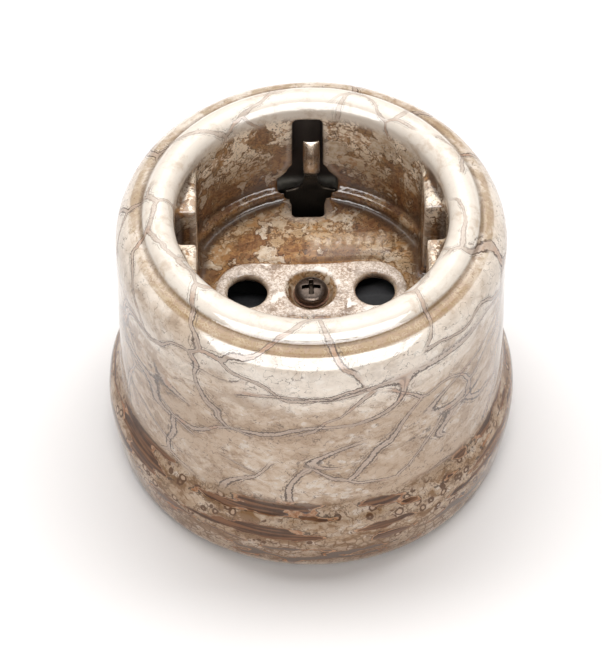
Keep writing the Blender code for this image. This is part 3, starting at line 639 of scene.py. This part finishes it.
def pull_to_profile(points):
    """Moves the turned surfaces onto the fine profile, leaving slots, guides, holes and the hollow alone."""
    co = points.co
    profile = cover_profile()
    r, z = np.hypot(co[:, 0], co[:, 1]), co[:, 2]
    ax, ay = np.abs(co[:, 0]), np.abs(co[:, 1])
    inside = (r < 25.5) & (z > 27.6) & (z < 46.5)
    slot_half = np.where(z < SLOT_SHOULDER, SLOT_WIDE_HALF, SLOT_HALF)
    from_slot = np.where(ay > 12, np.maximum(ax - slot_half, z - SLOT_TOP), 9.0)
    from_guide = np.maximum(GUIDE_X - 0.3 - ax, z - GUIDE_TOP)
    from_floor = r - 18.2
    free = np.where(inside & (r < 21.5), np.minimum(np.minimum(from_slot, from_guide), from_floor), 9.0)
    free = np.where((r < 25.0) & (z > 40) & (z < 45.2) & (r > 20.2), np.minimum(free, from_slot), free)
    across = np.abs(-math.sin(CABLE_ANGLE) * co[:, 0] + math.cos(CABLE_ANGLE) * co[:, 1])
    along = math.cos(CABLE_ANGLE) * co[:, 0] + math.sin(CABLE_ANGLE) * co[:, 1]
    from_arch = np.where(along > 0, np.maximum(across - 4.0, z - 7.2), 9.0)
    free = np.where(r > 26.5, from_arch, free)
    weight = ramp(free, 0.5, 1.4)
    weight[(r < 26.4) & (z < 27.6)] = 0.0
    weight[(r < 26.6) & (z < 2.0)] = 0.0
    here = np.flatnonzero(weight > 0)
    for chunk in np.array_split(here, max(1, len(here) // 8000)):
        rz = np.stack([r[chunk], z[chunk]], axis=1)
        gaps = ((rz[:, None, :] - profile[None, :, :]) ** 2).sum(-1)
        nearest = profile[gaps.argmin(1)]
        close = ramp(np.sqrt(gaps.min(1)), 1.0, 0.6)
        w = weight[chunk] * close
        target = rz + (nearest - rz) * w[:, None]
        co[chunk, :2] *= (target[:, 0] / r[chunk])[:, None]
        co[chunk, 2] = target[:, 1]


def meridian_lengths(points):
    """How far along the profile each point lies, from the recess floor over the crest to the foot."""
    profile = cover_profile()
    lengths = np.concatenate([[0.0], np.cumsum(np.linalg.norm(np.diff(profile, axis=0), axis=1))])
    rz = np.stack([np.hypot(points.co[:, 0], points.co[:, 1]), points.co[:, 2]], axis=1)
    nearest = [((chunk[:, None, :] - profile[None, :, :]) ** 2).sum(-1).argmin(1)
               for chunk in np.array_split(rz, max(1, len(rz) // 8000))]
    return lengths[np.concatenate(nearest)]


def tablet_height(x, y):
    """A plain raised tablet on the recess floor with a row of beads on it, instead of any mark."""
    cx, cy, half_x, half_y = 5.9, 9.6, 6.9, 2.3
    past_x = np.maximum(np.abs(x - cx) - half_x + 1.2, 0)
    past_y = np.maximum(np.abs(y - cy) - half_y + 1.2, 0)
    plate = ramp(np.hypot(past_x, past_y), 1.5, 0.4) * PLATE_HEIGHT
    pitch = 1.55
    steps = np.clip(np.round((x - cx) / pitch), -3, 3)
    bead = np.hypot(x - cx - steps * pitch, (y - cy) * 0.6)
    return plate + ramp(bead, 0.75, 0.2) * BEAD_HEIGHT


def glaze_waves(points, normals):
    """Slow swells of the glaze, so that reflections wander a little."""
    swell = np.array([noise.noise(Vector(p) * 0.11) + 0.45 * noise.noise(Vector(p) * 0.31 + Vector((7, 3, 1)))
                      for p in points.co])
    points.co += normals * (swell * 0.055)[:, None]


def concavity(points, normals):
    """Positive in hollows and negative on edges, averaged over about a millimetre."""
    bend = ((points.neighbour_mean(points.co) - points.co) * normals).sum(1)
    for _ in range(10):
        bend = points.neighbour_mean(bend)
    return bend / 0.03


def slot_closeness(co):
    """1 at the earth slots, 0 away from them."""
    outside = np.maximum(np.abs(co[:, 0]) - 5.4, 14.5 - np.abs(co[:, 1]))
    return ramp(np.maximum(outside, np.hypot(co[:, 0], co[:, 1]) - 25.0), 1.0, 0.0)


def make_cover(finish):
    cover = remeshed(welded_copy("cover", "glazed_cover"), 0.40)
    points = Points(cover)
    points.smooth(2, 0.5 - 0.38 * slot_closeness(points.co))
    pull_to_profile(points)
    points.smooth(1, 0.4 - 0.3 * slot_closeness(points.co))
    normals = points.normals()
    r = np.hypot(points.co[:, 0], points.co[:, 1])
    on_floor = (r < 17.8) & (np.abs(points.co[:, 2] - RECESS_FLOOR) < 0.5) & (normals[:, 2] > 0.7)
    lift = tablet_height(points.co[:, 0], points.co[:, 1]) * on_floor
    points.co[:, 2] += lift
    normals = points.normals()
    points.attribute("cavity", concavity(points, normals))
    z = points.co[:, 2]
    bare = ((r < 25.9) & (z < 27.0)).astype(float)
    for _ in range(3):
        bare = points.neighbour_mean(bare)
    points.attribute("bare", bare)
    points.attribute("raised", lift / (PLATE_HEIGHT + BEAD_HEIGHT))
    points.attribute("meridian", meridian_lengths(points))
    glaze_waves(points, normals * (1 - bare)[:, None])
    points.co = np.clip(points.co, np.array(COVER_LOW), np.array(COVER_HIGH))
    points.store()
    cover.data.shade_smooth()
    dress(cover, "cover", finish)
    return cover


def dress(obj, node, finish):
    """Gives a new piece its finish and its node's body and slot."""
    obj.data.materials.clear()
    obj.data.materials.append(finish)
    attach(obj, BODY_OF[node])
    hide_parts(node)


# ---------------------------------------------------------------- small parts

def softened(node, finish, voxel, rounds=2):
    """A CAD node with rounded edges and darker corners."""
    piece = remeshed(welded_copy(node, node + "_fine"), voxel)
    return cleaned(piece, node, finish, rounds)


def cleaned(piece, node, finish, rounds, painted_shade=None):
    """Smooths the piece, marks its hollows for darkening and the points that the last argument picks for
    painted shade, and dresses it.
    """
    points = Points(piece)
    points.smooth(rounds)
    cavity = concavity(points, points.normals())
    if painted_shade:
        cavity = np.maximum(cavity, painted_shade(points.co))
    points.attribute("cavity", cavity)
    points.store()
    piece.data.shade_smooth()
    dress(piece, node, finish)
    return piece


def grid_mesh(name, rows):
    """Quads between rings of points in millimetres, with both end rings closed."""
    rows = [[Vector(p) * MM for p in row] for row in rows]
    bm = bmesh.new()
    verts = [[bm.verts.new(p) for p in row] for row in rows]
    for one, two in zip(verts, verts[1:]):
        for i in range(len(one)):
            j = (i + 1) % len(one)
            bm.faces.new((one[i], one[j], two[j], two[i]))
    bm.faces.new(verts[0])
    bm.faces.new(verts[-1])
    bmesh.ops.recalc_face_normals(bm, faces=bm.faces)
    mesh = bpy.data.meshes.new(name)
    bm.to_mesh(mesh)
    bm.free()
    return linked(name, mesh)


def carve(obj, low, high):
    """Takes a box, corners in millimetres, out of the object."""
    bm = bmesh.new()
    bmesh.ops.create_cube(bm, size=1.0)
    bmesh.ops.scale(bm, verts=bm.verts, vec=(Vector(high) - Vector(low)) * MM)
    bmesh.ops.translate(bm, verts=bm.verts, vec=(Vector(high) + Vector(low)) / 2 * MM)
    mesh = bpy.data.meshes.new("cutter")
    bm.to_mesh(mesh)
    bm.free()
    cutter = linked("cutter", mesh)
    step = obj.modifiers.new("cut", "BOOLEAN")
    step.object = cutter
    step.operation = "DIFFERENCE"
    step.solver = "EXACT"
    obj = applied(obj)
    bpy.data.objects.remove(cutter)
    return obj


def threaded_screw(node, finish, at, head_r, head_low, head_high, shank_r, tip, pitch, voxel):
    """A pan-head screw with a cross recess and a fine thread, standing on its tip."""
    dome = head_high - head_low
    outline = [(0.01, tip), (shank_r - 0.4, tip), (shank_r, tip + 0.4)]
    outline += [(shank_r, z) for z in np.arange(tip + 0.4 + pitch / 8, head_low, pitch / 8)]
    outline += [(shank_r, head_low), (head_r - 0.12, head_low), (head_r, head_low + 0.12)]
    outline += [(head_r * math.cos(t), head_low + dome * (0.25 + 0.75 * math.sin(t)))
                for t in np.radians(np.linspace(0, 88, 14))]
    steps, rows = 64, []
    for r, z in outline:
        turns = np.arange(steps) / steps
        groove = np.abs((z / pitch - turns) % 1.0 - 0.5) * 2
        in_thread = ramp(z, tip + 0.2, tip + 0.6) * ramp(z, head_low - 0.1, head_low - 0.5)
        radii = r - 0.55 * pitch * groove * in_thread * (r > shank_r - 0.1)
        rows.append([(at[0] + q * math.cos(2 * math.pi * t), at[1] + q * math.sin(2 * math.pi * t), z)
                     for q, t in zip(radii, turns)])
    screw = grid_mesh(node + "_fine", rows)
    half, arm, deep = head_r * 0.13, head_r * 0.56, head_high - dome * 0.75
    for hx, hy in ((arm, half), (half, arm)):
        screw = carve(screw, (at[0] - hx, at[1] - hy, deep), (at[0] + hx, at[1] + hy, head_high + 1))

    # painted shade: the bottom of the cross recess is marked to go dark
    def in_cross(co):
        x, y = np.abs(co[:, 0] - at[0]), np.abs(co[:, 1] - at[1])
        across = np.maximum(np.minimum(x, y) - half, np.maximum(x, y) - arm)
        skin = head_low + dome * (0.25 + 0.75 * np.sqrt(np.clip(1 - (x * x + y * y) / head_r ** 2, 0, 1)))
        return ramp(across, 0.06, 0.0) * ramp(co[:, 2] - skin, -0.04, -0.16)

    return cleaned(remeshed(screw, voxel), node, finish, 1, in_cross)


def earth_strip(node, side, finish):
    """The sprung strip swept along a smooth side view, its tongue bulging towards the plug."""
    foot_z, half_thick = 9.75, 0.3
    # each row: distance from the axis, height, half width, bulge
    foot_bend = [(13.9, foot_z, 4.0, 0), (17.0, foot_z, 4.0, 0), (19.9, foot_z, 4.0, 0),
                 (20.75, foot_z + 0.25, 4.0, 0), (21.0, foot_z + 1.1, 4.0, 0)]
    upright = [(21.0, 17.0, 4.0, 0), (21.0, 26.6, 4.0, 0), (21.0, 27.6, 3.4, 0), (20.95, 28.4, 1.7, 0)]
    tongue = [(20.7, 30.2, 1.15, 0.05), (19.7, 32.6, 1.0, 0.15), (18.3, 34.6, 1.1, 0.35),
              (17.4, 36.0, 1.25, 0.5), (17.12, 37.6, 1.25, 0.55), (17.35, 39.2, 1.25, 0.55),
              (17.88, 40.7, 1.24, 0.5), (18.28, 41.6, 1.2, 0.45)]
    path = smooth_curve(foot_bend + upright + tongue, 0.25)
    across = np.linspace(-1, 1, 21)
    rows = []
    for i, (y, z, half, bulge) in enumerate(path):
        before, after = path[max(i - 1, 0)], path[min(i + 1, len(path) - 1)]
        along = Vector((0, after[0] - before[0], after[1] - before[1])).normalized()
        inward = Vector((0, -along.z, along.y))
        shift = 0.5 * min(1.0, max(0.0, (z - 12.0) / 10.0))
        row = []
        for face in (1, -1):
            for t in across[::face]:
                lift = inward * (half_thick * face + bulge * (1 - t * t))
                row.append((half * t + shift, (y + lift.y) * side, z + lift.z))
        rows.append(row)
    strip = remeshed(grid_mesh(node + "_fine", rows), 0.13)
    return cleaned(strip, node, finish, 2)


def make_small_parts(finishes):
    voxels = {
        "base": 0.36, "contact_carrier": 0.26, "shutter_tray": 0.20, "shutter": 0.16,
        "contact_sleeve_left": 0.15, "contact_sleeve_right": 0.15,
        "terminal_left": 0.16, "terminal_right": 0.16, "earth_terminal": 0.16,
        "wire_clamp_left": 0.09, "wire_clamp_right": 0.09, "earth_wire_clamp": 0.09,
        "earth_bridge": 0.16, "centre_nut": 0.14, "earth_rivet_near": 0.10, "earth_rivet_far": 0.10,
        "carrier_screw_left": 0.10, "carrier_screw_right": 0.10, "cover_screw_washer": 0.06,
        "shutter_spring": 0.07,
    }
    for node, voxel in voxels.items():
        softened(node, finishes[SLOT_OF[node]], voxel)
    threaded_screw("cover_screw", finishes["dark_bronze"], (0, 0), 2.5, 28.25, 29.7, 1.5, 13.0, 0.5, 0.07)
    for node, at in (("terminal_screw_left", (-18.1, 0)), ("terminal_screw_right", (18.1, 0)),
                     ("earth_terminal_screw", (-9.0, -14.5))):
        threaded_screw(node, finishes["zinc_steel"], at, 2.8, 18.3, 20.1, 1.7, 12.3, 0.7, 0.08)
    earth_strip("earth_strip_near", -1, finishes["nickel_strip"])
    earth_strip("earth_strip_far", 1, finishes["nickel_strip"])


# ---------------------------------------------------------------- stage, in metres

def make_floor():
    half = 1.2
    mesh = bpy.data.meshes.new("studio_floor")
    corners = [(-half, -half, 0), (half, -half, 0), (half, half, 0), (-half, half, 0)]
    mesh.from_pydata(corners, [], [(0, 1, 2, 3)])
    floor = linked("studio_floor", mesh)
    floor.location.z = -0.0002
    g = Finish("studio_floor")
    g.set(base_color=(0.69, 0.67, 0.66), roughness=0.7)
    floor.data.materials.append(g.material)


def softbox(name, azimuth, elevation, distance, width, height, radiance):
    """A rectangular light that faces the object; azimuth 0 is the camera's side."""
    turn, rise = math.radians(azimuth), math.radians(elevation)
    towards = Vector((math.sin(turn) * math.cos(rise), -math.cos(turn) * math.cos(rise), math.sin(rise)))
    at = towards * distance
    data = bpy.data.lights.new(name, "AREA")
    data.shape = "RECTANGLE"
    data.size, data.size_y = width, height
    data.energy = radiance * math.pi * width * height
    light = bpy.data.objects.new(name, data)
    light.location = at
    light.rotation_euler = (-at).to_track_quat("-Z", "Y").to_euler()
    bpy.context.scene.collection.objects.link(light)
    return light


def make_light():
    """A low fill in front and a strong light high behind; the gleam and the glow only show in reflections."""
    world = bpy.data.worlds.new("studio")
    world.use_nodes = True
    world.node_tree.nodes["Background"].inputs["Color"].default_value = (1, 1, 1, 1)
    world.node_tree.nodes["Background"].inputs["Strength"].default_value = 0.20
    bpy.context.scene.world = world
    fill = softbox("front_fill", 0, 22, 0.80, 0.90, 0.50, 2.3)
    gleam = softbox("front_gleam", 0, 37, 0.50, 1.10, 0.42, 9.0)
    back = softbox("back_softbox", 180, 75, 0.85, 1.05, 0.33, 11.5)
    glow = softbox("back_glow", 180, 72, 0.80, 0.95, 0.80, 2.0)
    fill.visible_glossy = back.visible_glossy = False
    gleam.visible_diffuse = glow.visible_diffuse = False
    bpy.context.scene.view_settings.view_transform = "Standard"


def make_camera():
    """A long lens looking down at 50 degrees, the near earth slot towards it."""
    distance, elevation, swing = 0.5, math.radians(50.4), math.radians(-1.65)
    target = Vector((0, 0, 0.025))
    flat = distance * math.cos(elevation)
    offset = Vector((flat * math.sin(swing), -flat * math.cos(swing), distance * math.sin(elevation)))
    data = bpy.data.cameras.new("camera")
    data.sensor_width = 36.0
    data.lens = 179.5
    data.shift_x, data.shift_y = -0.0152, -0.0446
    data.clip_end = 10.0
    camera = bpy.data.objects.new("camera", data)
    camera.location = target + offset
    camera.rotation_euler = (-offset).to_track_quat("-Z", "Y").to_euler()
    bpy.context.scene.collection.objects.link(camera)
    bpy.context.scene.camera = camera


# ---------------------------------------------------------------- all together

finishes = make_finishes()
for node, obj in frame["nodes"].items():
    obj.data.materials.clear()
    obj.data.materials.append(finishes[SLOT_OF[node]])
make_cover(finishes["glazed_porcelain"])
make_small_parts(finishes)
make_floor()
make_light()
make_camera()
